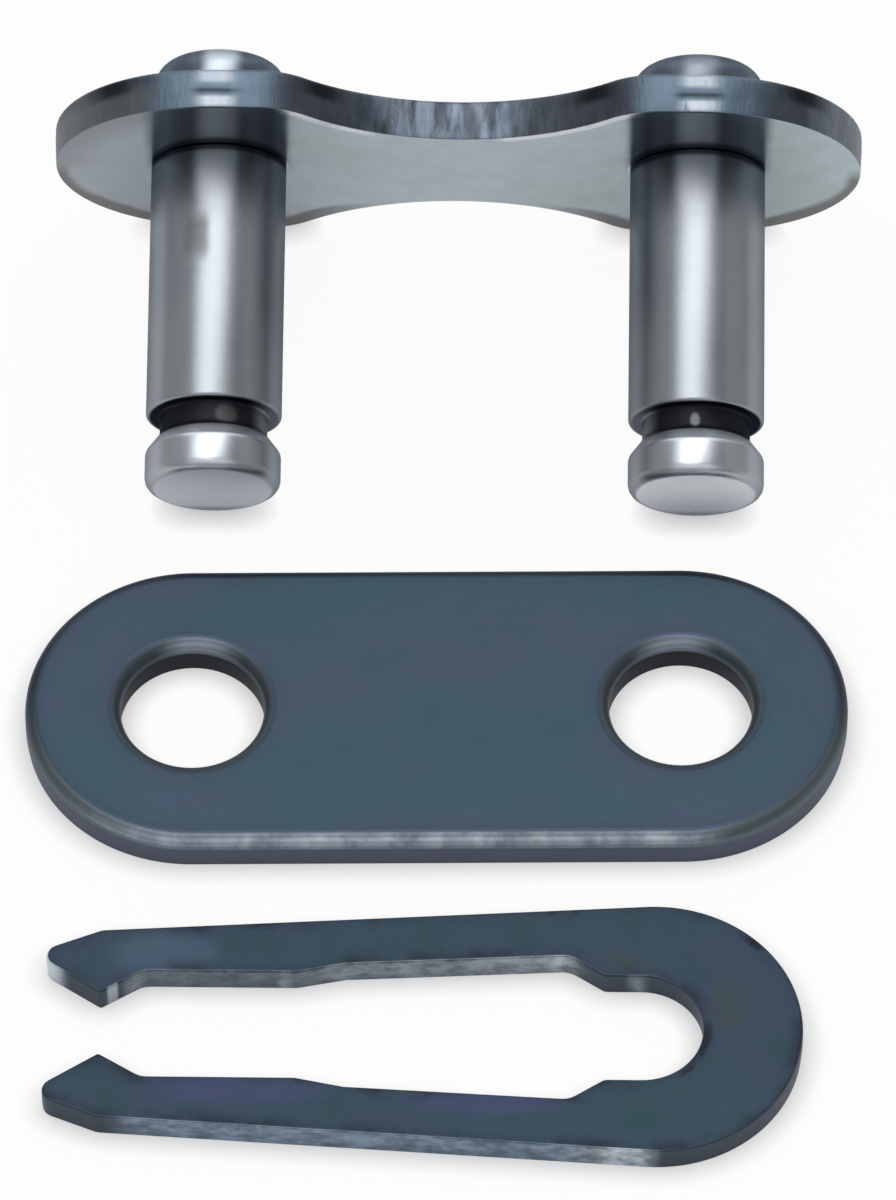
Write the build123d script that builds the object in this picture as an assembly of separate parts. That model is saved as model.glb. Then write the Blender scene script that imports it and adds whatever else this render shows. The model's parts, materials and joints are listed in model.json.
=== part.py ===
from build123d import *
from math import acos, asin, atan2, cos, degrees, hypot, radians, sin, sqrt
import os

# A spring-clip connecting link for half-inch roller chain, laid out on a table in its three groups:
# the pin link (an outer plate with two riveted pins), the cover plate and the spring clip.
# Millimetres. X runs along the pitch, Z is up and the front is -Y.

# Chain
pitch = 12.7
inner_width = 5.93  # clear space between the plates, where the chain's inner link runs
plate_thickness = 1.1
plate_height = 8.7
link_roll = 0.15  # rounding that the punch leaves round the outer plate's outer face
cover_roll = 0.36  # the same round the cover plate's upper face

# Waist of the outer plate
waist_height = 4.5
waist_shoulder = 1.85  # from a pin's centre line to the notch's corner
waist_blend = 2.0

# Pins
pin_radius = 1.79
shoulder = 0.19  # the shank in the outer plate is thinner than the body by this much
groove_depth = 0.37
knob_length = 1.12
body_end_chamfer = 0.08
knob_back_chamfer = 0.18
knob_end_round = 0.3

# Riveted heads
head_overhang = 0.15  # the head is wider than the shank by this much
head_height = 1.9
head_corner = 0.62
crown_radius = 7.0

# Spring clip
clip_thickness = 0.8
clip_edge_chamfer = 0.06
nose_wall = 2.18  # from the seat out to the nose circle, at the sides
seat_setback = 0.37  # the seat's centre lies this far behind the nose circle's centre
seat_ledge = 0.95  # straight walls of the seat, behind its half circle
seat_step = 0.9
slot_relief = 0.6  # the slot behind the seat is wider than the seat by this much on each side
throat_relief = 0.26  # the same at the slot's far end, over the grip
grip_length = 3.75  # straight walls in front of the second pin
grip_ramp = 1.25
heel_width = 1.26  # leg width over the grip
mouth_width = 1.84
hook_slope = 32  # degrees between the hook's flank and the grip; the flank bears on the second pin's neck
beak_length = 1.8
beak_half_width = 2.12
beak_round = 0.35
tooth_round = 0.1
leg_blend = 0.6

# Fits
hole_clearance = 0.07
cover_play = 0.05
groove_play = 0.1
seat_clearance = 0.15
grip_clearance = 0.18
bearing_clearance = 0.03  # where the clip bears on the necks, at the seat's end and on the hooks

# Places on the table: gaps between the groups, side shifts and turns in degrees
link_gap = 1.43
clip_gap = 1.78
link_shift = 0.57
clip_shift = -0.34
link_turn = -0.77
cover_turn = 0.36
clip_turn = -0.65

# Worked out
plate_end_radius = plate_height / 2
shank_radius = pin_radius - shoulder
head_radius = shank_radius + head_overhang
neck_radius = pin_radius - groove_depth
hole_radius = pin_radius + hole_clearance
groove_start = inner_width + plate_thickness + cover_play
groove_end = groove_start + clip_thickness + groove_play
pin_length = groove_end + knob_length
seat_radius = neck_radius + seat_clearance
nose_radius = seat_radius + nose_wall
grip_half = neck_radius + grip_clearance


def nearest(shape, x, y):
    return shape.vertices().sort_by_distance((x, y, 0))[0]


def make_outer_plate():
    # The inner face lies on y = 0 and the plate's thickness is on +Y.
    notch_depth = (plate_height - waist_height) / 2
    half_mouth = pitch / 2 - waist_shoulder
    notch_radius = (half_mouth**2 + notch_depth**2) / (2 * notch_depth)
    notch_centre = waist_height / 2 + notch_radius
    with BuildPart() as plate:
        with BuildSketch(Plane.XZ) as outline:
            SlotCenterToCenter(pitch, plate_height)
            with Locations((0, notch_centre), (0, -notch_centre)):
                Circle(notch_radius, mode=Mode.SUBTRACT)
            corners = [nearest(outline, x, y) for x in (-half_mouth, half_mouth)
                       for y in (-plate_end_radius, plate_end_radius)]
            fillet(corners, waist_blend)
        extrude(amount=-plate_thickness)
        outer_face = plate.faces().sort_by(Axis.Y)[-1]
        fillet(outer_face.edges(), link_roll)
        with BuildSketch(Plane.XZ):
            with Locations((-pitch / 2, 0), (pitch / 2, 0)):
                Circle(shank_radius)
        extrude(amount=-plate_thickness, mode=Mode.SUBTRACT)
    return plate.part


def make_pin():
    # Turned about Y: the shoulder seats on y = 0, the head is on +Y and the knob on -Y.
    head_top = plate_thickness + head_height
    rim_drop = crown_radius - sqrt(crown_radius**2 - head_radius**2)
    rim_top = head_top - rim_drop
    with BuildPart() as pin:
        with BuildSketch() as profile:
            with BuildLine():
                Polyline(
                    (head_radius, rim_top),
                    (head_radius, plate_thickness),
                    (shank_radius, plate_thickness),
                    (shank_radius, 0),
                    (pin_radius, 0),
                    (pin_radius, -groove_start),
                    (neck_radius, -groove_start),
                    (neck_radius, -groove_end),
                    (pin_radius, -groove_end),
                    (pin_radius, -pin_length),
                    (0, -pin_length),
                    (0, head_top),
                )
                RadiusArc((0, head_top), (head_radius, rim_top), crown_radius)
            make_face()
            fillet(nearest(profile, head_radius, rim_top), head_corner)
            chamfer(nearest(profile, pin_radius, -groove_start), body_end_chamfer)
            chamfer(nearest(profile, pin_radius, -groove_end), knob_back_chamfer)
            fillet(nearest(profile, pin_radius, -pin_length), knob_end_round)
        revolve(axis=Axis.Y)
    return pin.part


def make_cover_plate():
    with BuildPart() as plate:
        with BuildSketch():
            SlotCenterToCenter(pitch, plate_height)
        extrude(amount=plate_thickness)
        fillet(plate.faces().sort_by(Axis.Z)[-1].edges(), cover_roll)
        with Locations((-pitch / 2, 0), (pitch / 2, 0)):
            Cylinder(hole_radius, plate_thickness, align=(Align.CENTER, Align.CENTER, Align.MIN),
                     mode=Mode.SUBTRACT)
    return plate.part


def flank_at(y, reach):
    # X of the hook's flank at height y, with the flank touching a circle of radius reach about the origin.
    slope = radians(hook_slope)
    return (y * cos(slope) - reach) / sin(slope)


def make_spring_clip():
    # The nose circle's centre is the origin and the legs run along -X. Only half of the outline is drawn.
    seat_x = -seat_setback
    far_pin_x = seat_x + seat_clearance - bearing_clearance - pitch
    mouth_half = mouth_width / 2
    neck_reach = neck_radius + bearing_clearance
    tooth_x = far_pin_x + flank_at(mouth_half, neck_reach)
    grip_start = far_pin_x + flank_at(grip_half, neck_reach)
    grip_end = far_pin_x + grip_length
    ledge_end = seat_x - seat_ledge
    heel = (tooth_x, grip_half + heel_width)
    tangent_angle = atan2(heel[1], heel[0]) - acos(nose_radius / hypot(*heel))
    nose_end = (nose_radius * cos(tangent_angle), nose_radius * sin(tangent_angle))
    outline_points = [
        nose_end,
        heel,
        (tooth_x - beak_length, beak_half_width),
        (tooth_x, mouth_half),
        (grip_start, grip_half),
        (grip_end, grip_half),
        (grip_end + grip_ramp, grip_half + throat_relief),
        (ledge_end - seat_step, seat_radius + slot_relief),
        (ledge_end, seat_radius),
        (seat_x, seat_radius),
    ]
    corner_rounds = [leg_blend, beak_round, tooth_round] + 4 * [leg_blend] + [leg_blend / 2]
    with BuildPart() as clip:
        with BuildSketch():
            with BuildLine():
                CenterArc((0, 0), nose_radius, 0, degrees(tangent_angle))
                FilletPolyline(*outline_points, radius=corner_rounds)
                CenterArc((seat_x, 0), seat_radius, 90, -90)
                mirror(about=Plane.XZ)
            make_face()
        extrude(amount=clip_thickness)
        chamfer(clip.faces().sort_by(Axis.Z)[-1].edges(), clip_edge_chamfer)
    return clip.part


def resting_tilt():
    # The pin link lies on the lower corner of its inner face and on the rounded ends of its knobs.
    along = pin_length - knob_end_round
    above = plate_end_radius - (pin_radius - knob_end_round)
    return atan2(above, along) - asin(knob_end_round / hypot(above, along))


def highest(parts):
    return max(part.bounding_box().max.Y for part in parts)


def lowest(parts):
    return min(part.bounding_box().min.Y for part in parts)


def lay_out():
    tilt = resting_tilt()
    on_table = Pos(link_shift, 0, plate_end_radius * cos(tilt)) * Rot(Z=link_turn) * Rot(X=degrees(tilt))
    pin = make_pin()
    link = {
        "outer_plate": on_table * make_outer_plate(),
        "pin_left": on_table * Pos(X=-pitch / 2) * pin,
        "pin_right": on_table * Pos(X=pitch / 2) * pin,
    }
    cover = Rot(Z=cover_turn) * make_cover_plate()
    clip = Rot(Z=clip_turn) * make_spring_clip()
    clip_box = clip.bounding_box()
    link_back = highest([cover]) + link_gap - lowest(link.values())
    clip_back = lowest([cover]) - clip_gap - clip_box.max.Y
    pieces = {name: Pos(Y=link_back) * part for name, part in link.items()}
    pieces["cover_plate"] = cover
    pieces["spring_clip"] = Pos(clip_shift - clip_box.center().X, clip_back) * clip
    whole = Compound([*pieces.values()]).bounding_box()
    to_origin = Pos(-whole.center().X, -whole.center().Y, -whole.min.Z)
    return {name: to_origin * part for name, part in pieces.items()}


os.makedirs("parts", exist_ok=True)
for name, part in lay_out().items():
    export_step(part, f"parts/{name}.step")
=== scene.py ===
import json
from math import acos, asin, atan2, ceil, cos, hypot, pi, radians, sin, sqrt, tan

import bmesh
import bpy
from mathutils import Matrix, Vector
from mathutils.kdtree import KDTree


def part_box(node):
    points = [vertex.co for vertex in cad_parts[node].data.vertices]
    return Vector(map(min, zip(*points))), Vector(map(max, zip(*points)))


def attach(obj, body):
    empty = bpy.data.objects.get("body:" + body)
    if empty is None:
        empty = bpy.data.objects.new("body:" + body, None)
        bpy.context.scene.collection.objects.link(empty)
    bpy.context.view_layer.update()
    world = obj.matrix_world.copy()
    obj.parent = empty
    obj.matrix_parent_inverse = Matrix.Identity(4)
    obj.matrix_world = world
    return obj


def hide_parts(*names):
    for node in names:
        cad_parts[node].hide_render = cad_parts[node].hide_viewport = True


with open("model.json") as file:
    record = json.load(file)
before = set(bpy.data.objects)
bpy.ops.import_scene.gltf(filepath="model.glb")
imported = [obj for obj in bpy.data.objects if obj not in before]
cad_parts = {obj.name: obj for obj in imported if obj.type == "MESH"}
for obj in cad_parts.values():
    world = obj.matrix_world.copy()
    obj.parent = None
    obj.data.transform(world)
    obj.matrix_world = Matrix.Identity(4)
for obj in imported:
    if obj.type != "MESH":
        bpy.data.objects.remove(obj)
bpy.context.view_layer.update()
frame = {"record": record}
mounts = {mount["name"]: mount for mount in frame["record"]["mounts"]}
mm = 0.001  # pieces are drawn in millimetres and placed in metres


cameraSet = {
    "target": (0.006, 1.749, 0.0),  # mm, the middle of the picture
    "elevation": radians(54.4),
    "distance": 300.0,  # mm
    "focalPixels": 11419.0,  # focal length in pixels of an 896 x 1200 picture
    "pictureHeight": 1200.0,
}


def makeCamera(c):
    lens = bpy.data.cameras.new("camera")
    lens.sensor_width = 36.0
    lens.lens = lens.sensor_width * c["focalPixels"] / c["pictureHeight"]
    lens.clip_start = 0.01
    lens.clip_end = 10.0
    camera = bpy.data.objects.new("camera", lens)
    back = Vector((0, -cos(c["elevation"]), sin(c["elevation"])))
    camera.location = (Vector(c["target"]) + back * c["distance"]) * mm
    camera.rotation_euler = (pi / 2 - c["elevation"], 0, 0)
    bpy.context.scene.collection.objects.link(camera)
    bpy.context.scene.camera = camera


lampSet = {
    "worldGrey": (0.12, 0.125, 0.135),
    # the direction towards each lamp, its distance and size in metres, and its radiance
    "overhead": {"towards": (-0.09, 0.09, 1.0), "distance": 1.0, "size": (0.92, 0.62), "level": 1.85},
    "back": {"towards": (0.0, 0.93, 1.0), "distance": 1.2, "size": (2.0, 0.94), "level": 0.78},
    "behind": {"towards": (0.0, 1.0, 0.3), "distance": 1.4, "size": (3.2, 0.7), "level": 0.45},
    "front": {"towards": (0.0, -0.95, 1.0), "distance": 1.1, "size": (1.6, 0.9), "level": 0.5},
    "left": {"towards": (-1.0, 0.0, 0.42), "distance": 1.0, "size": (1.2, 0.7), "level": 0.28},
    "right": {"towards": (1.0, 0.0, 0.42), "distance": 1.0, "size": (1.2, 0.7), "level": 0.28},
}


def softbox(name, s):
    # a rectangular lamp that faces the object
    width, height = s["size"]
    lamp = bpy.data.lights.new(name, "AREA")
    lamp.shape = "RECTANGLE"
    lamp.size = width
    lamp.size_y = height
    lamp.energy = s["level"] * pi * width * height
    towards = Vector(s["towards"]).normalized()
    holder = bpy.data.objects.new(name, lamp)
    holder.location = towards * s["distance"]
    holder.rotation_mode = "QUATERNION"
    holder.rotation_quaternion = towards.to_track_quat("Z", "Y")
    holder.visible_camera = False
    bpy.context.scene.collection.objects.link(holder)


def makeLamps():
    for name in ("overhead", "back", "behind", "front", "left", "right"):
        softbox(name, lampSet[name])
    world = bpy.data.worlds.new("studio")
    world.use_nodes = True
    world.node_tree.nodes["Background"].inputs["Color"].default_value = (*lampSet["worldGrey"], 1)
    bpy.context.scene.world = world
    bpy.context.scene.view_settings.view_transform = "Standard"


class Wire:
    # a node's output that takes part in sums: each operator adds a Math node
    def __init__(self, finish, socket):
        self.finish = finish
        self.socket = socket

    def sum(self, operation, *values):
        return self.finish.node("ShaderNodeMath", {"operation": operation}, dict(enumerate(values)))

    def __add__(self, other):
        return self.sum("ADD", self, other)

    def __radd__(self, other):
        return self.sum("ADD", other, self)

    def __sub__(self, other):
        return self.sum("SUBTRACT", self, other)

    def __rsub__(self, other):
        return self.sum("SUBTRACT", other, self)

    def __mul__(self, other):
        return self.sum("MULTIPLY", self, other)

    def __rmul__(self, other):
        return self.sum("MULTIPLY", other, self)

    def __truediv__(self, other):
        return self.sum("DIVIDE", self, other)

    def __pow__(self, other):
        return self.sum("POWER", self, other)

    def __abs__(self):
        return self.sum("ABSOLUTE", self)


class Finish:
    # a material under construction; its place turns Object coordinates into a piece's own millimetres
    def __init__(self, name, place=None):
        self.material = bpy.data.materials.new(name)
        self.material.use_nodes = True
        self.tree = self.material.node_tree
        self.tree.nodes.clear()
        if place is not None:
            spot = self.node("ShaderNodeTexCoord", output="Object")
            here = {"Vector": spot, "Location": place.to_translation(),
                    "Rotation": place.to_euler(), "Scale": (mm, mm, mm)}
            self.spot = self.node("ShaderNodeMapping", {"vector_type": "TEXTURE"}, here)
            self.x, self.y, self.z = (self.node("ShaderNodeSeparateXYZ", {}, {0: self.spot}, axis)
                                      for axis in "XYZ")

    def node(self, kind, settings=None, values=None, output=0):
        made = self.tree.nodes.new(kind)
        for name, value in (settings or {}).items():
            setattr(made, name, value)
        for key, value in (values or {}).items():
            if isinstance(value, Wire):
                self.tree.links.new(value.socket, made.inputs[key])
            else:
                made.inputs[key].default_value = value
        return Wire(self, made.outputs[output]) if made.outputs else None

    def rise(self, value, low, high):
        # 0 below low, 1 above high, smooth between
        values = {"Value": value, "From Min": low, "From Max": high}
        return self.node("ShaderNodeMapRange", {"interpolation_type": "SMOOTHSTEP"}, values)

    def fall(self, value, low, high):
        return 1 - self.rise(value, low, high)

    def band(self, value, low, high, soft):
        # 1 between low and high, 0 outside, soft at both ends
        return self.rise(value, low - soft, low + soft) * self.fall(value, high - soft, high + soft)

    def runs(self, value, places):
        # several bands added up: from, to, softness and strength
        bands = [self.band(value, low, high, soft) * strength for low, high, soft, strength in places]
        return sum(bands[1:], bands[0])

    def patch(self, x, y, halfWidth, halfHeight, along=None):
        # a soft oval spot, 1 in its middle
        dx = (self.x - x) / halfWidth
        dy = ((along or self.y) - y) / halfHeight
        return self.fall(dx * dx + dy * dy, 0.15, 1.0)

    def noise(self, waves, seed=0.0, detail=3.0, rough=0.55):
        # waves is the number to a millimetre along the piece's X, Y and Z; a seed moves it elsewhere
        shift = (seed, seed * 1.7, seed * 2.3)
        moved = self.node("ShaderNodeMapping", {}, {"Vector": self.spot, "Location": shift, "Scale": waves})
        values = {"Vector": moved, "Scale": 1.0, "Detail": detail, "Roughness": rough}
        return self.node("ShaderNodeTexNoise", {}, values)

    def rim(self):
        # 1 at the edges of a flat face, 0 inside it
        return self.node("ShaderNodeAttribute", {"attribute_name": "rim"}, output="Fac")

    def mix(self, mask, first, second):
        first = first if isinstance(first, Wire) else (*first, 1)
        second = second if isinstance(second, Wire) else (*second, 1)
        settings = {"data_type": "RGBA"}
        return self.node("ShaderNodeMix", settings, {0: mask, 6: first, 7: second}, output=2)

    def shade(self, colour, amount):
        # darkens or lightens a colour by a varying amount
        colour = colour if isinstance(colour, Wire) else (*colour, 1)
        grey = self.node("ShaderNodeCombineColor", {}, {0: amount, 1: amount, 2: amount})
        settings = {"data_type": "RGBA", "blend_type": "MULTIPLY", "clamp_result": False}
        return self.node("ShaderNodeMix", settings, {0: 1.0, 6: colour, 7: grey}, output=2)

    def bump(self, height, depth, below=None):
        # depth is the height of the relief in millimetres
        values = {"Height": height, "Strength": 1.0, "Distance": depth * mm}
        if below is not None:
            values["Normal"] = below
        return self.node("ShaderNodeBump", {}, values)

    def metal(self, colour, roughness, normal, edgeTint=(1, 1, 1)):
        values = {"Base Color": colour, "Metallic": 1.0, "Roughness": roughness, "Normal": normal,
                  "Specular Tint": (*edgeTint, 1)}
        shader = self.node("ShaderNodeBsdfPrincipled", {}, values)
        self.node("ShaderNodeOutputMaterial", {}, {"Surface": shader})
        return self.material


floorSet = {
    "colour": (0.93, 0.932, 0.935),
    "reach": 4.0,  # metres
    "cameraWhite": 0.94,  # how much of the floor the camera sees as plain white
    "mirrorWhite": 0.35,  # the same in reflections
    "contact": 0.0007,  # metres, the reach of the shade where a piece touches the floor
    "contactDepth": 0.85,
    "contactColour": (0.25, 0.26, 0.28),
}


def makeFloor(c):
    bm = bmesh.new()
    bmesh.ops.create_grid(bm, x_segments=8, y_segments=8, size=c["reach"])
    floor = meshObject(bm, "floor")
    look = Finish("paleFloor")
    matt = look.node("ShaderNodeBsdfDiffuse", {}, {"Color": (*c["colour"], 1)})
    clear = look.node("ShaderNodeAmbientOcclusion", {"samples": 8}, {"Distance": c["contact"]}, output="AO")
    white = look.mix((1 - clear) * c["contactDepth"], (1, 1, 1), c["contactColour"])
    plain = look.node("ShaderNodeEmission", {}, {"Color": white, "Strength": 1.0})
    camera = look.node("ShaderNodeLightPath", output="Is Camera Ray")
    glossy = look.node("ShaderNodeLightPath", output="Is Glossy Ray")
    share = camera * c["cameraWhite"] + glossy * c["mirrorWhite"]
    both = look.node("ShaderNodeMixShader", {}, {0: share, 1: matt, 2: plain})
    look.node("ShaderNodeOutputMaterial", {}, {"Surface": both})
    floor.data.materials.append(look.material)


arcStep = 0.12  # mm, the longest piece of an arc
weld = 1e-4  # mm, points this near become one
uprightNormal = 0.9999  # least normal Z of a flat face
# steps in a punched blank's section: its die roll, its fracture's taper and its broken lower edge
rollSteps = 8
taperSteps = 4
breakSteps = 3


def meshObject(bm, name):
    mesh = bpy.data.meshes.new(name)
    bm.to_mesh(mesh)
    bm.free()
    made = bpy.data.objects.new(name, mesh)
    bpy.context.scene.collection.objects.link(made)
    return made


class Pen:
    # draws a chain of edges in the XY plane, in millimetres
    def __init__(self, bm, x, y):
        self.bm = bm
        self.tip = bm.verts.new((x, y, 0))

    def lineTo(self, x, y):
        self.tip = bmesh.ops.extrude_vert_indiv(self.bm, verts=[self.tip])["verts"][0]
        self.tip.co = (x, y, 0)

    def arcAbout(self, x, y, angle):
        radius = hypot(self.tip.co.x - x, self.tip.co.y - y)
        steps = max(4, ceil(abs(angle) * radius / arcStep))
        swept = bmesh.ops.spin(self.bm, geom=[self.tip], cent=(x, y, 0), axis=(0, 0, 1),
                               angle=angle, steps=steps)
        self.tip = swept["geom_last"][0]

    def roundedTo(self, corners):
        # each corner is (x, y, radius), and the last one ends the run
        for here, after in zip(corners, corners[1:]):
            point = Vector(here[:2])
            comeIn = (point - self.tip.co.xy).normalized()
            goOut = (Vector(after[:2]) - point).normalized()
            turn = atan2(comeIn.x * goOut.y - comeIn.y * goOut.x, comeIn.dot(goOut))
            side = here[2] if turn > 0 else -here[2]
            start = point - comeIn * here[2] * tan(abs(turn) / 2)
            self.lineTo(*start)
            self.arcAbout(start.x - comeIn.y * side, start.y + comeIn.x * side, turn)
        self.lineTo(*corners[-1][:2])


def mirrorAll(bm, axis):
    geometry = bm.verts[:] + bm.edges[:]
    bmesh.ops.mirror(bm, geom=geometry, axis=axis, merge_dist=weld)
    bmesh.ops.remove_doubles(bm, verts=bm.verts[:], dist=weld)


def punchHoles(bm, centres, radius):
    for x in centres:
        bmesh.ops.create_circle(bm, cap_ends=False, radius=radius, segments=ceil(2 * pi * radius / arcStep),
                                matrix=Matrix.Translation((x, 0, 0)))


def quarterRound(inset, rise, steps):
    # insets and rises that follow a quarter of an ellipse from a wall on to a face
    angles = [step / steps * pi / 2 for step in range(steps + 1)]
    return [(inset * (cos(a) - cos(b)), rise * (sin(b) - sin(a))) for a, b in zip(angles, angles[1:])]


def stepIn(bm, faces, steps):
    for inset, rise in steps:
        bmesh.ops.inset_region(bm, faces=faces, thickness=inset, depth=rise,
                               use_boundary=True, use_even_offset=True)


def flatFaces(bm):
    return [face for face in bm.faces if abs(face.normal.z) > uprightNormal]


def crosses(face, axis, level):
    levels = [vert.co[axis] for vert in face.verts]
    return min(levels) < level < max(levels)


def cutFlats(bm, cell):
    # cuts the flat faces into squares, so that they can carry values inside their edges
    for axis in (0, 1):
        low = min(vert.co[axis] for vert in bm.verts)
        high = max(vert.co[axis] for vert in bm.verts)
        count = ceil((high - low) / cell)
        for step in range(1, count):
            there = Vector((0, 0, 0))
            there[axis] = low + (high - low) * step / count
            facing = Vector((0, 0, 0))
            facing[axis] = 1
            near = [face for face in flatFaces(bm) if crosses(face, axis, there[axis])]
            edges = {edge for face in near for edge in face.edges}
            verts = {vert for face in near for vert in face.verts}
            bmesh.ops.bisect_plane(bm, geom=near + list(edges) + list(verts), dist=weld,
                                   plane_co=there, plane_no=facing)


def markRim(bm, width):
    # "rim" runs from 1 at the edges of a flat face to 0 inside it
    layer = bm.verts.layers.float.new("rim")
    flats = set(flatFaces(bm))
    border = [edge for edge in bm.edges if sum(face in flats for face in edge.link_faces) == 1]
    points = [vert.co for edge in border for vert in edge.verts]
    tree = KDTree(len(points))
    for number, point in enumerate(points):
        tree.insert(point, number)
    tree.balance()
    for vert in bm.verts:
        vert[layer] = 1.0
    for vert in {vert for face in flats for vert in face.verts}:
        vert[layer] = max(0.0, 1.0 - tree.find(vert.co)[2] / width)
    for face in bm.faces:
        face.smooth = face not in flats


def stampFromOutline(bm, s):
    # gives the filled outline a punched blank's section: flat back, fracture, burnish and die roll
    bmesh.ops.triangle_fill(bm, use_beauty=True, edges=bm.edges[:])
    back = bm.faces[:]
    swept = bmesh.ops.extrude_face_region(bm, geom=back)["geom"]
    front = [part for part in swept if isinstance(part, bmesh.types.BMFace)]
    burnishLow = s["burnishFrom"]
    burnishHigh = s["thickness"] - s["rollDown"]
    bmesh.ops.translate(bm, verts=bm.verts[:], vec=(0, 0, burnishLow))
    frontVerts = list({vert for face in front for vert in face.verts})
    bmesh.ops.translate(bm, verts=frontVerts, vec=(0, 0, burnishHigh - burnishLow))
    bmesh.ops.recalc_face_normals(bm, faces=bm.faces[:])
    stepIn(bm, front, quarterRound(s["rollIn"], s["rollDown"], rollSteps))
    fracture = burnishLow - s["burrBreak"]
    stepIn(bm, back, [(s["fractureTaper"] / taperSteps, fracture / taperSteps)] * taperSteps)
    stepIn(bm, back, quarterRound(s["burrBreak"], s["burrBreak"], breakSteps))
    cutFlats(bm, s["cell"])
    markRim(bm, s["rimWidth"])


def finishPiece(bm, name, place, finish, node):
    bmesh.ops.remove_doubles(bm, verts=bm.verts[:], dist=weld / 10)
    bmesh.ops.recalc_face_normals(bm, faces=bm.faces[:])
    bmesh.ops.transform(bm, matrix=place @ Matrix.Scale(mm, 4), verts=bm.verts[:])
    piece = meshObject(bm, name)
    piece.data.materials.append(finish)
    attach(piece, "root")
    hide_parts(node)
    print(name, len(piece.data.polygons), "faces")


def placeFrom(origin, xAxis, zAxis):
    # where a piece drawn about its own origin goes, with its X and Z along these
    z = zAxis.normalized()
    x = (xAxis - xAxis.dot(z) * z).normalized()
    return Matrix.Translation(origin) @ Matrix((x, z.cross(x), z)).transposed().to_4x4()


def mountRoot(name):
    mount = mounts[name]
    return Vector(mount["pos_m"]) - Vector(mount["axis"]) * mount["dims"]["length_mm"] / 2 * mm


leftRoot = mountRoot("pin_left")
rightRoot = mountRoot("pin_right")
pinAxis = Vector(mounts["pin_left"]["axis"])
alongLink = rightRoot - leftRoot
pitch = alongLink.length / mm

outerPlateSet = {
    "thickness": 1.1,
    "height": 8.7,
    "waistHeight": 4.5,
    "waistShoulder": 1.85,
    "waistBlend": 2.0,
    "shankRadius": 1.6,
    "burnishFrom": 0.62,
    "rollIn": 0.15,
    "rollDown": 0.15,
    "fractureTaper": 0.03,
    "burrBreak": 0.025,
    "rimWidth": 0.8,
    "cell": 0.3,
    # plated face
    "zinc": (0.46, 0.54, 0.56),
    "zincBlue": (0.49, 0.55, 0.61),
    "zincMottle": (0.44, 0.54, 0.6),
    # painted shade at the top of the left lobe
    "lobeShade": (0.22, 0.245, 0.265),
    "headRing": (0.16, 0.19, 0.22),
    # painted shade above each pin on the inner face, darkest in its middle
    "oil": (0.07, 0.09, 0.115),
    "paleShadeAbovePin": (0.13, 0.175, 0.22),
    # painted highlight along the burr at the top edge
    "burrHighlight": (0.9, 0.92, 0.95),
    "dull": (0.12, 0.112, 0.108),
    # sheared wall
    "shear": (0.083, 0.1, 0.128),
    "shearPale": (0.115, 0.13, 0.155),
    "endGrey": (0.24, 0.26, 0.28),
    "streak": (0.3, 0.365, 0.45),
    "leftEndGrey": (0.17, 0.19, 0.205),
    "darkBesideHead": (0.014, 0.016, 0.02),
    # painted sheen and painted highlights on the wall over each pin, and a dark line between them
    "sheenOverPin": (0.17, 0.235, 0.3),
    "rubbedHighlightLow": (0.6, 0.66, 0.72),
    "rubbedHighlightHigh": (0.5, 0.56, 0.62),
    "darkLine": (0.03, 0.037, 0.046),
    # where they lie, from and to in millimetres: Z from the inner face, Y down from the middle
    "innerZ": (0.5, 0.7),
    "leftEndZ": (0.55, 0.95),
    "darkBesideHeadZ": (0.5, 0.75),
    "rubbedHighlightLowZ": (0.05, 0.33),
    "rubbedHighlightHighZ": (0.62, 0.8),
    "darkLineZ": (0.49, 0.6),
    "upperY": (-0.6, 0.6),
    # X from the middle
    "burrHighlightLeftX": (-4.6, -2.3),
    "burrHighlightRightX": (1.1, 4.7),
    "dullX": (1.5, 4.2),
    "waistX": (1.2, 2.6),
    # X from the left pin and from the right one
    "leftLobeX": (-0.6, 0.2),
    "rightEndX": (2.6, 4.0),
    # X to each side of a pin
    "shadeAbovePinX": (1.75, 2.1),
    "paleShadeAbovePinX": (0.45, 0.95),
    "besidePinX": (2.2, 4.2),
    "darkBesideHeadX": (2.3, 3.2),
    "sheenOverPinX": (1.3, 2.1),
    "rubbedHighlightX": (0.3, 0.85),
    "darkLineX": (0.55, 1.1),
    # out from a pin's axis
    "lobeShadeOut": (2.9, 4.4),
    "headRingOut": (1.9, 2.9),
    "dullOut": (2.5, 3.0),
    "burrHighlightRim": (0.675, 0.81),  # of the rim's value
}


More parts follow.
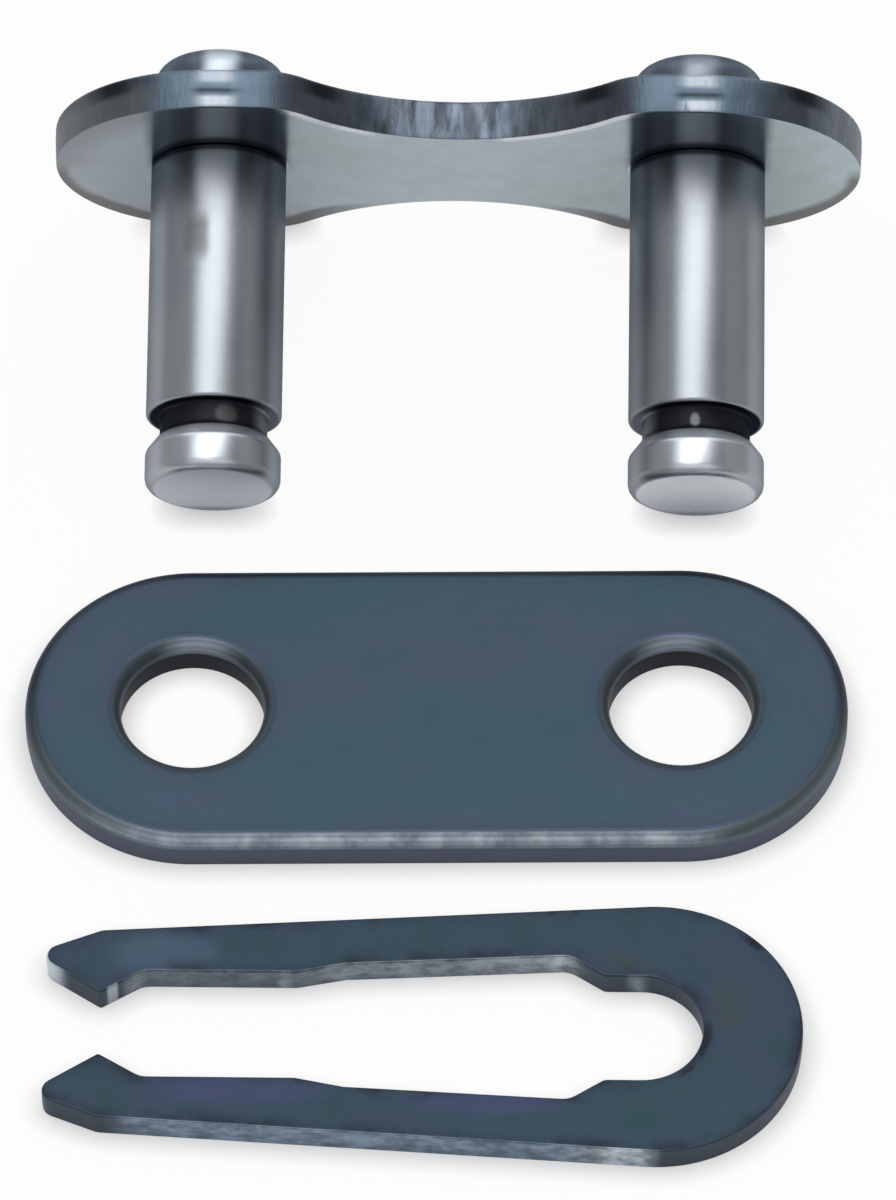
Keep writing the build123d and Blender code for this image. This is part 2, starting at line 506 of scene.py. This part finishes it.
def outerPlateFinish(s, place):
    # the piece's Y points down and its Z runs from the inner face to the outer one
    look = Finish("platedPlate", place)
    x, y, z = look.x, look.y, look.z
    fromPin = abs(abs(x) - pitch / 2)
    fromAxis = (fromPin * fromPin + y * y) ** 0.5
    innerFace = look.fall(z, *s["innerZ"])
    upper = innerFace * look.fall(y, *s["upperY"])
    under = innerFace - upper
    leftLobe = look.fall(x, s["leftLobeX"][0] - pitch / 2, s["leftLobeX"][1] - pitch / 2)
    cloud = look.noise((0.28, 0.28, 0.28), seed=3.0, detail=2.0)
    mottle = look.noise((1.3, 1.3, 1.3), seed=9.0, detail=4.0, rough=0.6)
    grain = look.noise((14, 14, 14), seed=5.0, detail=2.0)
    rim = look.rim()

    # plated face, darker round each head on the outer face, with painted shade on the inner face above each
    # pin and at the top of the left lobe
    face = look.mix(look.rise(cloud, 0.4, 0.62), s["zinc"], s["zincBlue"])
    face = look.mix(look.rise(mottle, 0.5, 0.72) * 0.6, face, s["zincMottle"])
    brighter = 0.81 + 0.28 * look.rise(x, -pitch / 2 - 1, -pitch / 4)
    face = look.shade(face, brighter * (0.84 + 0.32 * mottle))
    face = look.mix(leftLobe * upper * look.rise(fromAxis, *s["lobeShadeOut"]) * 0.75, face, s["lobeShade"])
    ring = (1 - innerFace) * look.fall(fromAxis + 0.3 * mottle, *s["headRingOut"])
    face = look.mix(ring * 0.6, face, s["headRing"])
    # painted shade above each pin, standing for the pin's shadow and reflection
    shadeAbovePinMask = upper * look.fall(fromPin + 0.15 * mottle, *s["shadeAbovePinX"])
    shadeAbovePinColour = look.mix(look.rise(fromPin, *s["paleShadeAbovePinX"]), s["oil"], s["paleShadeAbovePin"])
    face = look.mix(shadeAbovePinMask * 0.92, face, shadeAbovePinColour)

    # a painted highlight along parts of the burr at its top, and a dull line along its bottom
    burrHighlight = look.band(x, *s["burrHighlightLeftX"], 0.3) + look.band(x, *s["burrHighlightRightX"], 0.3)
    burrHighlight = burrHighlight * upper * look.rise(rim, *s["burrHighlightRim"]) * (0.45 + 0.55 * look.rise(mottle, 0.35, 0.55))
    face = look.mix(burrHighlight, face, s["burrHighlight"])
    besidePin = look.fall(fromPin, *s["besidePinX"])
    dull = look.rise(rim + 0.3 * mottle + 0.4 * besidePin, 0.65, 1.0) * look.rise(abs(x), *s["dullX"])
    dull = dull * under * look.rise(fromAxis, *s["dullOut"])
    face = look.mix(dull * 0.85, face, s["dull"])

    # sheared wall, with streaks across the thickness at the waist and at the right end
    streak = look.noise((2.8, 2.8, 0.7), seed=1.0, detail=4.0, rough=0.6)
    waist = look.fall(abs(x + 0.4), *s["waistX"])
    rightEnd = look.rise(x, pitch / 2 + s["rightEndX"][0], pitch / 2 + s["rightEndX"][1])
    edge = look.mix(look.rise(mottle, 0.35, 0.65), s["shear"], s["shearPale"])
    edge = look.mix(rightEnd * 0.45, edge, s["endGrey"])
    streaked = waist + rightEnd * 0.5 + 0.1
    edge = look.mix(look.rise(streak, 0.34, 0.68) * streaked, edge, s["streak"])
    leftEnd = leftLobe * look.fall(z, *s["leftEndZ"])
    edge = look.mix(leftEnd * 0.85, edge, look.shade(s["leftEndGrey"], 0.7 + 0.6 * streak))
    # darker spots on the wall beside each head
    darkBesideHead = look.band(fromPin, *s["darkBesideHeadX"], 0.35) * look.rise(z, *s["darkBesideHeadZ"])
    edge = look.mix(darkBesideHead * 0.88, edge, s["darkBesideHead"])

    # over each pin the wall has a painted sheen, painted highlights low and high on it, and a dark line
    # across it between them
    sheenOverPin = look.fall(fromPin, *s["sheenOverPinX"])
    edge = look.mix(sheenOverPin * 0.9, edge, look.shade(s["sheenOverPin"], 0.7 + 0.6 * mottle))
    rubbedHighlight = look.fall(fromPin + 0.25 * mottle, *s["rubbedHighlightX"]) * look.rise(streak, 0.25, 0.45)
    edge = look.mix(rubbedHighlight * look.band(z, *s["rubbedHighlightLowZ"], 0.06), edge, s["rubbedHighlightLow"])
    edge = look.mix(rubbedHighlight * look.rise(z, *s["rubbedHighlightHighZ"]), edge, s["rubbedHighlightHigh"])
    darkLine = look.band(z + 0.12 * cloud, *s["darkLineZ"], 0.06)
    darkLine = darkLine * look.fall(fromPin + 0.5 * mottle, *s["darkLineX"])
    edge = look.mix(darkLine * 0.8, edge, s["darkLine"])

    outerRoll = look.rise(z, s["thickness"] - 0.015, s["thickness"] - 0.002)
    wall = look.rise(z, 0.0, 0.03) * (1 - outerRoll)
    colour = look.mix(wall, face, edge)
    roughness = (0.13 + 0.08 * mottle) * (1 - wall) + (0.38 + 0.2 * streak) * wall
    normal = look.bump(grain, 0.0008)
    normal = look.bump(streak * wall, 0.03, normal)
    return look.metal(colour, roughness, normal)


def makeOuterPlate(s):
    place = placeFrom((leftRoot + rightRoot) / 2, alongLink, -pinAxis)
    half = s["height"] / 2
    notchDepth = half - s["waistHeight"] / 2
    halfMouth = pitch / 2 - s["waistShoulder"]
    notchRadius = (halfMouth**2 + notchDepth**2) / (2 * notchDepth)
    notchY = s["waistHeight"] / 2 + notchRadius
    blendY = half - s["waistBlend"]
    blendX = sqrt((notchRadius + s["waistBlend"]) ** 2 - (notchY - blendY) ** 2)
    swing = atan2(blendX, notchY - blendY)
    bm = bmesh.new()
    pen = Pen(bm, pitch / 2 + half, 0)
    pen.arcAbout(pitch / 2, 0, pi / 2)
    pen.lineTo(blendX, half)
    pen.arcAbout(blendX, blendY, swing)
    pen.arcAbout(0, notchY, -swing)
    mirrorAll(bm, "X")
    mirrorAll(bm, "Y")
    punchHoles(bm, (-pitch / 2, pitch / 2), s["shankRadius"])
    stampFromOutline(bm, s)
    finishPiece(bm, "outerPlate", place, outerPlateFinish(s, place), "outer_plate")


pinSet = {
    "radius": 1.79,
    "shankRadius": 1.6,
    "neckRadius": 1.42,
    "plateThickness": 1.1,
    "grooveFrom": 7.08,
    "grooveRound": 0.09,
    "bodyEnd": 0.08,
    # the knob slopes up from the neck between these, and both corners are rounded
    "slopeFrom": 7.64,
    "slopeTo": 8.14,
    "slopeRound": 0.22,
    "length": 9.1,
    "endRound": 0.3,
    "rootRound": 0.05,
    "headRadius": 1.75,
    "headHeight": 1.9,
    "headCorner": 0.62,
    "crownRadius": 7.0,
    "turnSteps": 128,
    "steel": (0.42, 0.462, 0.5),
    "steelPale": (0.47, 0.5, 0.535),
    # a lighter knob, as a painted highlight
    "knobHighlightSteel": (0.62, 0.66, 0.7),
    # painted shade beside the root
    "shadeBesideRoot": (0.16, 0.17, 0.185),
    # painted highlight along the crest beside the plate
    "crestHighlight": (0.72, 0.76, 0.8),
    "dome": (0.15, 0.19, 0.235),
    "domePale": (0.21, 0.25, 0.3),
    "rootShade": (0.03, 0.034, 0.042),
    # the groove's oil, also standing for the shade in the recess
    "oil": (0.03, 0.032, 0.037),
    "dull": (0.24, 0.26, 0.275),
    "edgeTint": (0.4, 0.42, 0.46),
    # half widths of the painted highlights along the top: where they start to fade, and where they end
    "ridgeHighlightX": (0.35, 0.8),
    "crestX": (0.3, 0.7),
    "crownHighlightX": (0.25, 0.65),
    # where the sides, the top and the darker root fade in or out
    "sideX": (0.7, 1.35),
    "topY": (0.2, 0.8),
    "rootZ": (0.1, 0.24),
    "nearPlateZ": (0.8, 2.2),
    "shadeBesideRootZ": (0.6, 2.2),
}
leftPinOwn = {
    "sides": (0.84, 0.68),  # painted shade: how bright the left and right sides are beside the crest
    "endColour": (0.8, 0.84, 0.87),
    "endRough": 0.25,
    "crownHighlight": (0.6, 0.67, 0.73),
    # where the turned neck has a painted highlight: x, z, half width, half height
    "spot": (0.36, 7.44, 0.42, 0.42),
    "neckHighlightColour": (0.11, 0.115, 0.12),
    "litSide": 1,  # the groove is lighter on the side of the other pin, as painted light
    # the dull patch beside the crest, from and to
    "dullX": (-0.65, -0.05),
    "dullZ": (2.4, 3.5),
}
rightPinOwn = {
    "sides": (0.72, 0.8),
    "endColour": (0.95, 0.965, 1.0),
    "endRough": -0.08,
    "crownHighlight": (0.3, 0.34, 0.385),
    "spot": (-0.05, 7.5, 0.19, 0.3),
    "neckHighlightColour": (0.22, 0.23, 0.24),
    "litSide": -1,
}


def pinFinish(name, s, place, own):
    look = Finish(name, place)
    x, y, z = look.x, look.y, look.z
    radius = (x * x + y * y) ** 0.5
    cloud = look.noise((0.5, 0.5, 0.35), seed=2.0, detail=3.0)
    lines = look.noise((0.9, 0.9, 26.0), seed=7.0, detail=3.0, rough=0.7)
    grain = look.noise((9.0, 9.0, 12.0), seed=4.0, detail=2.0)
    head = look.fall(z, -s["plateThickness"] - 0.06, -s["plateThickness"] + 0.02)
    knob = look.rise(z, s["slopeFrom"], s["slopeFrom"] + 0.3)
    grooveOilAndShade = look.band(z, s["grooveFrom"] - 0.04, s["slopeFrom"] + 0.14, 0.04)
    grooveOilAndShade = grooveOilAndShade * look.fall(radius, s["radius"] - 0.12, s["radius"] - 0.06)
    grooveOilAndShade = grooveOilAndShade * (1 - 0.6 * look.rise(own["litSide"] * x, 0.95, 1.35))
    end = look.rise(z, s["length"] - 0.03, s["length"] - 0.002)
    root = look.fall(z, *s["rootZ"])
    top = look.rise(y, *s["topY"])

    # ground body, with painted shade at its sides and beside the root, and painted highlights on the knob,
    # along the top ridge and along the crest beside the plate
    colour = look.mix(look.rise(cloud, 0.35, 0.65), s["steel"], s["steelPale"])
    colour = look.shade(colour, 0.92 + 0.16 * lines)
    colour = look.mix(knob * (1 - end) * 0.7, colour, s["knobHighlightSteel"])
    # painted highlight along the top ridge, stronger on the knob
    ridgeHighlight = top * look.fall(abs(x + 0.1), *s["ridgeHighlightX"])
    colour = look.shade(colour, 1 + ridgeHighlight * (0.16 + 0.3 * knob))
    # painted shade on both sides of the pin
    leftShade, rightShade = (1 - level for level in own["sides"])
    sides = look.rise(-1 * x, *s["sideX"]) * leftShade + look.rise(x, *s["sideX"]) * rightShade
    colour = look.shade(colour, 1 - sides)
    nearPlate = look.fall(z, *s["nearPlateZ"]) * (1 - head)
    crest = top * look.fall(abs(x + 0.05), *s["crestX"])
    shadeBesideRoot = look.fall(z, *s["shadeBesideRootZ"]) * (1 - head)
    colour = look.mix(shadeBesideRoot * (1 - crest) * 0.65, colour, s["shadeBesideRoot"])
    colour = look.mix(nearPlate * crest, colour, s["crestHighlight"])

    # riveted head, grey on its dome, with a painted highlight on its crown
    dome = look.mix(look.rise(cloud, 0.4, 0.6), s["dome"], s["domePale"])
    crownHighlight = top * look.fall(abs(x - 0.05), *s["crownHighlightX"])
    colour = look.mix(head, colour, look.mix(crownHighlight, dome, own["crownHighlight"]))
    colour = look.mix(root * (1 - head) * 0.85, colour, s["rootShade"])

    # oily groove, darker also as painted shade in the recess and lighter towards the other pin as painted
    # light, with a painted highlight on its neck; the bare end, darker towards its bottom; and a dull patch
    # beside the crest
    # painted highlight where the turned neck catches the light
    spot = look.patch(*own["spot"], along=z) ** 3 * (0.5 + lines) * top
    colour = look.mix(grooveOilAndShade, colour, look.mix(spot, s["oil"], own["neckHighlightColour"]))
    darkerLowEnd = look.shade(own["endColour"], 0.6)
    bare = look.mix(look.rise(y + 0.3 * cloud, -1.3, -0.9), darkerLowEnd, own["endColour"])
    colour = look.mix(end, colour, bare)
    roughness = 0.26 + 0.1 * lines + 0.08 * cloud + 0.06 * head + 0.16 * grooveOilAndShade + own["endRough"] * end
    roughness = roughness + 0.06 * nearPlate * crest
    if "dullX" in own:
        dull = look.band(x + 0.3 * cloud, *own["dullX"], 0.14) * top
        dull = dull * look.band(z + 0.7 * cloud, *own["dullZ"], 0.28)
        colour = look.mix(dull * 0.75, colour, s["dull"])
        roughness = roughness + 0.12 * dull
    normal = look.bump(lines * (1 - end), 0.003)
    normal = look.bump(grain * (1 - 0.7 * end), 0.0008, normal)
    return look.metal(colour, roughness, normal, s["edgeTint"])


def drawHead(pen, s):
    # crown and rounded rim of the riveted head, from the axis out; the pen works in (radius, depth)
    top = s["plateThickness"] + s["headHeight"]
    crownY = -top + s["crownRadius"]
    corner = s["headCorner"]
    tilt = asin((s["headRadius"] - corner) / (s["crownRadius"] - corner))
    cornerY = crownY - (s["crownRadius"] - corner) * cos(tilt)
    pen.arcAbout(0, crownY, tilt)
    pen.arcAbout(s["headRadius"] - corner, cornerY, pi / 2 - tilt)


def makePin(name, root, s, node, own):
    place = placeFrom(root, alongLink, pinAxis)
    bm = bmesh.new()
    pen = Pen(bm, 0, -(s["plateThickness"] + s["headHeight"]))
    drawHead(pen, s)
    pen.lineTo(s["headRadius"], -s["plateThickness"])
    pen.lineTo(s["shankRadius"], -s["plateThickness"])
    pen.lineTo(s["shankRadius"], 0)
    pen.roundedTo([
        (s["radius"], 0, s["rootRound"]),
        (s["radius"], s["grooveFrom"], s["bodyEnd"]),
        (s["neckRadius"], s["grooveFrom"], s["grooveRound"]),
        (s["neckRadius"], s["slopeFrom"], s["slopeRound"]),
        (s["radius"], s["slopeTo"], s["slopeRound"]),
        (s["radius"], s["length"], s["endRound"]),
        (0, s["length"], 0),
    ])
    upright = Matrix.Rotation(pi / 2, 4, "X")  # drawn in XY, turned to (radius, axis)
    bmesh.ops.transform(bm, matrix=upright, verts=bm.verts[:])
    bmesh.ops.spin(bm, geom=bm.verts[:] + bm.edges[:], cent=(0, 0, 0), axis=(0, 0, 1),
                   angle=2 * pi, steps=s["turnSteps"], use_merge=True)
    bmesh.ops.remove_doubles(bm, verts=bm.verts[:], dist=weld)
    for face in bm.faces:
        face.smooth = True
    finish = pinFinish(name + "Steel", s, place, own)
    finishPiece(bm, name, place, finish, node)


coverSet = {
    "thickness": 1.1,
    "height": 8.7,
    "holeRadius": 1.86,
    "burnishFrom": 0.3,
    "rollIn": 0.36,
    "rollDown": 0.36,
    "fractureTaper": 0.03,
    "burrBreak": 0.025,
    "rimWidth": 0.5,
    "cell": 0.3,
    "seed": 1.0,
    "blue": (0.048, 0.084, 0.11),
    "violet": (0.057, 0.081, 0.118),
    "green": (0.045, 0.085, 0.101),
    # painted shade at the edges of the face
    "edgeShade": (0.05, 0.05, 0.075),
    "fracture": (0.115, 0.135, 0.18),
    # painted shade on the walls inside the holes
    "holeWallShade": (0.035, 0.038, 0.045),
    # painted light on the roll at the ends and inside the holes
    "endSheen": (0.145, 0.18, 0.195),
    # painted highlights on the rubbed roll
    "rubbedHighlightDim": (0.28, 0.32, 0.385),
    "rubbedHighlightBright": (0.73, 0.82, 0.94),
    "rubbedHighlightSpot": (0.9, 0.96, 1.0),
    "crest": (0.25, 0.08),  # the brightest part of the roll, down from the upper face
    # where the near roll's shine fades in and out
    "nearY": (-3.2, -2.2),
    "shineLeftX": (-10.2, -7.2),
    "shineDimX": (-8.8, -6.6),
    "shineRightX": (5.9, 7.8),
    "endsY": (-2.5, 1.0),
    # where the near roll is rubbed and painted brightest, and half its width there
    "rubbedHighlight": [(-4.94, 0.1), (-3.2, 0.35), (-2.57, 0.06), (-1.34, 0.08), (-0.05, 0.2), (1.03, 0.18),
               (2.62, 0.18), (3.5, 0.04), (5.76, 0.35)],
}


def bluedFace(look, s, rim):
    # heat-blued face: slow clouds of colour, finer mottling and a fine grain, with painted shade at its
    # edges
    cloud = look.noise((0.22, 0.3, 0.3), seed=s["seed"], detail=2.0)
    mottle = look.noise((0.9, 0.9, 0.9), seed=s["seed"] + 4, detail=4.0, rough=0.6)
    grain = look.noise((12, 12, 12), seed=s["seed"] + 8, detail=2.0)
    face = look.mix(look.rise(cloud, 0.38, 0.62), s["blue"], s["violet"])
    face = look.mix(look.rise(mottle, 0.52, 0.72) * 0.7, face, s["green"])
    face = look.shade(face, 0.86 + 0.28 * grain)
    face = look.mix(rim ** 2 * 0.3, face, s["edgeShade"])
    return face, mottle, grain


def coverFinish(s, place, reach):
    look = Finish("bluedPlate", place)
    x, y, z = look.x, look.y, look.z
    face, mottle, grain = bluedFace(look, s, look.rim())
    fromHole = ((abs(x) - reach) ** 2 + y * y) ** 0.5
    hole = look.fall(fromHole, s["holeRadius"] + 0.45, s["holeRadius"] + 0.6)
    near = look.fall(y, *s["nearY"])
    streak = look.noise((1.6, 1.6, 0.5), seed=s["seed"] + 2, detail=4.0, rough=0.65)
    fine = look.noise((5.0, 5.0, 1.2), seed=s["seed"] + 3, detail=3.0)

    # the rubbed roll carries a painted highlight, brightest in a few places, and painted light at its ends
    # and in the holes; the wall below is a dark fracture, with painted shade inside the holes
    outside = look.rise(x, *s["shineLeftX"]) * look.fall(x, *s["shineRightX"]) * (1 - hole) * near
    inside = look.band(abs(x) - reach, -0.9, 0.6, 0.5) * hole * look.rise(y, 0.4, 1.2)
    endSheenMask = look.rise(abs(x), reach - 0.6, reach + 0.8) * look.fall(y, *s["endsY"]) * (1 - hole)
    shine = outside * (0.6 + 0.5 * look.rise(streak, 0.35, 0.65)) + inside * 0.6
    crest = look.band(z, s["thickness"] - s["crest"][0], s["thickness"] - s["crest"][1], 0.04)
    rubbedHighlight = look.mix(crest, s["rubbedHighlightDim"], s["rubbedHighlightBright"])
    rubbedHighlight = look.mix(look.rise(x, *s["shineDimX"]), look.shade(rubbedHighlight, 0.65), rubbedHighlight)
    # painted light on the roll at the ends and inside the holes
    roll = look.mix(endSheenMask + 0.55 * hole, look.shade(face, 0.8), s["endSheen"])
    roll = look.mix(shine, roll, rubbedHighlight)
    for spotX, width in s["rubbedHighlight"]:
        spot = look.band(x, spotX - width, spotX + width, 0.2) * (0.6 + 0.4 * look.rise(fine, 0.3, 0.6))
        roll = look.mix(spot * near * (1 - hole) * (0.15 + 0.8 * crest), roll, s["rubbedHighlightSpot"])
    rollFrom = s["thickness"] - s["rollDown"]
    below = look.mix(hole, s["fracture"], s["holeWallShade"])
    edge = look.mix(look.rise(z, rollFrom - 0.08, rollFrom + 0.06), below, roll)
    flat = look.rise(z, s["thickness"] - 0.03, s["thickness"] - 0.004)
    wall = look.rise(z, 0.0, 0.02) * (1 - flat)
    colour = look.mix(wall, face, edge)
    roughness = (0.3 + 0.1 * mottle) * (1 - wall) + wall * 0.5
    normal = look.bump(grain, 0.0014)
    lowWall = wall * look.fall(z, rollFrom - 0.2, rollFrom)
    normal = look.bump(streak * lowWall, 0.03, normal)
    return look.metal(colour, roughness, normal)


def makeCoverPlate(s):
    left = Vector(mounts["cover_bore_left"]["pos_m"])
    right = Vector(mounts["cover_bore_right"]["pos_m"])
    middle = (left + right) / 2
    place = placeFrom((middle.x, middle.y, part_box("cover_plate")[0][2]), right - left, Vector((0, 0, 1)))
    reach = (right - left).length / mm / 2
    half = s["height"] / 2
    bm = bmesh.new()
    pen = Pen(bm, reach + half, 0)
    pen.arcAbout(reach, 0, pi / 2)
    pen.lineTo(0, half)
    mirrorAll(bm, "X")
    mirrorAll(bm, "Y")
    punchHoles(bm, (-reach, reach), s["holeRadius"])
    stampFromOutline(bm, s)
    finishPiece(bm, "coverPlate", place, coverFinish(s, place, reach), "cover_plate")


clipSet = {
    "thickness": 0.8,
    "noseRadius": 3.75,
    "seatRadius": 1.57,
    "seatSetback": 0.37,
    "seatLedge": 0.95,
    "seatStep": 0.9,
    "slotRelief": 0.6,
    "throatRelief": 0.26,
    "neckReach": 1.45,  # neck radius and its bearing clearance
    "farPin": -12.95,  # X of the second pin, from the middle of the nose's circle
    "gripHalf": 1.6,
    "gripLength": 3.75,
    "gripRamp": 1.25,
    "heelWidth": 1.26,
    "mouthHalf": 0.92,
    "hookSlope": radians(32),
    "beakLength": 1.8,
    "beakHalf": 2.12,
    "beakRound": 0.35,
    "toothRound": 0.1,
    "legBlend": 0.6,
    "turn": radians(-0.65),
    "burnishFrom": 0.36,
    "rollIn": 0.07,
    "rollDown": 0.09,
    "fractureTaper": 0.02,
    "burrBreak": 0.02,
    "rimWidth": 0.35,
    "cell": 0.25,
    "seed": 6.0,
    "blue": (0.036, 0.062, 0.082),
    "violet": (0.04, 0.059, 0.09),
    "green": (0.032, 0.064, 0.07),
    # painted shade at the edges of the face
    "edgeShade": (0.03, 0.032, 0.048),
    "shearDark": (0.07, 0.09, 0.118),
    "shearLight": (0.67, 0.745, 0.81),
    "shearBlue": (0.5, 0.65, 0.83),  # along the lower leg
    "tint": (0.055, 0.062, 0.13),
    "oil": (0.05, 0.062, 0.052),
    "chip": (0.016, 0.019, 0.026),
    "rimShade": (0.02, 0.023, 0.032),
    # violet tints, oil stains, dark chips and one pale spot on the face: x, y, half width, half height
    "tints": [(-10.6, -2.05, 2.9, 0.5), (-4.2, -2.3, 2.6, 0.5)],
    "oilStains": [(1.9, 0.6, 0.8, 1.2), (-0.9, 2.0, 1.2, 0.5)],
    "nicks": [(1.35, -0.6, 0.35, 1.0), (1.0, -1.5, 0.5, 0.5), (2.45, 2.55, 0.35, 0.3)],
    "paleSpot": (-12.6, 2.1, 1.7, 0.9),
    # bright runs along the legs' walls, the narrow ones painted glints: from, to, softness and strength
    "lowerRuns": [(-13.6, -1.1, 0.5, 0.37), (-1.3, -0.1, 0.3, 0.68)],
    "upperRuns": [(-13.2, -8.7, 0.5, 0.17), (-8.6, -2.1, 0.6, 0.32), (-13.58, -13.14, 0.18, 0.25),
                  (-9.65, -9.41, 0.18, 0.28), (-4.0, -2.4, 0.18, 0.08), (-2.56, -2.04, 0.18, 0.28),
                  (-0.67, -0.27, 0.18, 0.28)],
    "slotSideY": (2.3, 2.7),  # the upper leg's inner wall ends
    "shearBlueX": (-2.8, -1.2),
    # bright places on the upper hook: on its tip, and a painted glint beside its tooth
    "tipX": (-15.3, -14.9),
    "tipY": (1.6, 2.3),
    "toothGlint": (-13.9, 1.1, 0.18, 0.3),
}


def hookFlankX(s, y):
    # the flank of a hook bears on the second pin's neck
    return s["farPin"] + (y * cos(s["hookSlope"]) - s["neckReach"]) / sin(s["hookSlope"])


def clipFinish(s, place):
    look = Finish("bluedSpring", place)
    x, y, z = look.x, look.y, look.z
    rim = look.rim()
    face, mottle, grain = bluedFace(look, s, rim)
    chips = look.noise((3.2, 3.2, 3.2), seed=s["seed"] + 1, detail=4.0, rough=0.7)
    patches = look.noise((0.8, 0.8, 0.8), seed=s["seed"] + 5, detail=3.0)
    face = look.shade(face, 1 + 0.38 * look.patch(*s["paleSpot"]))
    for oval in s["tints"]:
        face = look.mix(look.patch(*oval) * look.rise(mottle, 0.3, 0.6) * 0.7, face, s["tint"])
    for oval in s["oilStains"]:
        face = look.mix(look.patch(*oval) * look.rise(patches, 0.35, 0.6) * 0.45, face, s["oil"])
    for oval in s["nicks"]:
        nick = look.patch(*oval) * look.rise(rim + 0.8 * chips, 0.75, 1.15)
        face = look.mix(nick * 0.8, face, s["chip"])
    face = look.mix(rim * look.rise(patches, 0.45, 0.65) * 0.7, face, s["rimShade"])

    # sheared wall: outside the lower leg, inside the upper one and round the hooks
    streak = look.noise((1.8, 1.8, 3.0), seed=s["seed"] + 2, detail=4.0, rough=0.65)
    lower = look.fall(y, -0.3, 0.3)
    slotSide = look.fall(y, *s["slotSideY"])
    upperLevel = look.runs(x, s["upperRuns"]) * slotSide + 0.1 * (1 - slotSide)
    level = lower * look.runs(x, s["lowerRuns"]) + (1 - lower) * upperLevel
    level = level * (0.45 + 1.1 * look.rise(streak, 0.3, 0.7))
    tip = look.fall(x, *s["tipX"]) * look.band(y, *s["tipY"], 0.2)
    # painted glint beside the tooth
    tip = tip + look.patch(*s["toothGlint"]) * 0.6
    light = look.mix(lower * look.fall(x, *s["shearBlueX"]), s["shearLight"], s["shearBlue"])
    edge = look.mix(level + tip, s["shearDark"], light)

    wall = look.rise(z, 0.0, 0.02) * look.fall(z, s["thickness"] - 0.02, s["thickness"] - 0.004)
    colour = look.mix(wall, face, edge)
    roughness = (0.3 + 0.1 * mottle) * (1 - wall) + wall * (0.36 + 0.14 * streak)
    normal = look.bump(grain, 0.0014)
    normal = look.bump(streak * wall, 0.02, normal)
    return look.metal(colour, roughness, normal)


def makeSpringClip(s):
    low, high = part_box("spring_clip")
    middleY = (low[1] + high[1]) / 2
    nose = (high[0] - s["noseRadius"] * mm, middleY, low[2])
    place = placeFrom(nose, Vector((cos(s["turn"]), sin(s["turn"]), 0)), Vector((0, 0, 1)))
    toothX = hookFlankX(s, s["mouthHalf"])
    gripStart = hookFlankX(s, s["gripHalf"])
    gripEnd = s["farPin"] + s["gripLength"]
    ledgeEnd = -s["seatSetback"] - s["seatLedge"]
    heel = (toothX, s["gripHalf"] + s["heelWidth"])
    tangent = atan2(heel[1], heel[0]) - acos(s["noseRadius"] / hypot(*heel))
    bm = bmesh.new()
    pen = Pen(bm, s["noseRadius"], 0)
    pen.arcAbout(0, 0, tangent)
    pen.roundedTo([
        (*heel, s["legBlend"]),
        (toothX - s["beakLength"], s["beakHalf"], s["beakRound"]),
        (toothX, s["mouthHalf"], s["toothRound"]),
        (gripStart, s["gripHalf"], s["legBlend"]),
        (gripEnd, s["gripHalf"], s["legBlend"]),
        (gripEnd + s["gripRamp"], s["gripHalf"] + s["throatRelief"], s["legBlend"]),
        (ledgeEnd - s["seatStep"], s["seatRadius"] + s["slotRelief"], s["legBlend"]),
        (ledgeEnd, s["seatRadius"], s["legBlend"] / 2),
        (-s["seatSetback"], s["seatRadius"], 0),
    ])
    pen.arcAbout(-s["seatSetback"], 0, -pi / 2)
    mirrorAll(bm, "Y")
    stampFromOutline(bm, s)
    finishPiece(bm, "springClip", place, clipFinish(s, place), "spring_clip")


makeCamera(cameraSet)
makeLamps()
makeFloor(floorSet)
print("stage set")
makeOuterPlate(outerPlateSet)
makePin("pinLeft", leftRoot, pinSet, "pin_left", leftPinOwn)
makePin("pinRight", rightRoot, pinSet, "pin_right", rightPinOwn)
print("pin link made")
makeCoverPlate(coverSet)
makeSpringClip(clipSet)
print("cover plate and clip made")
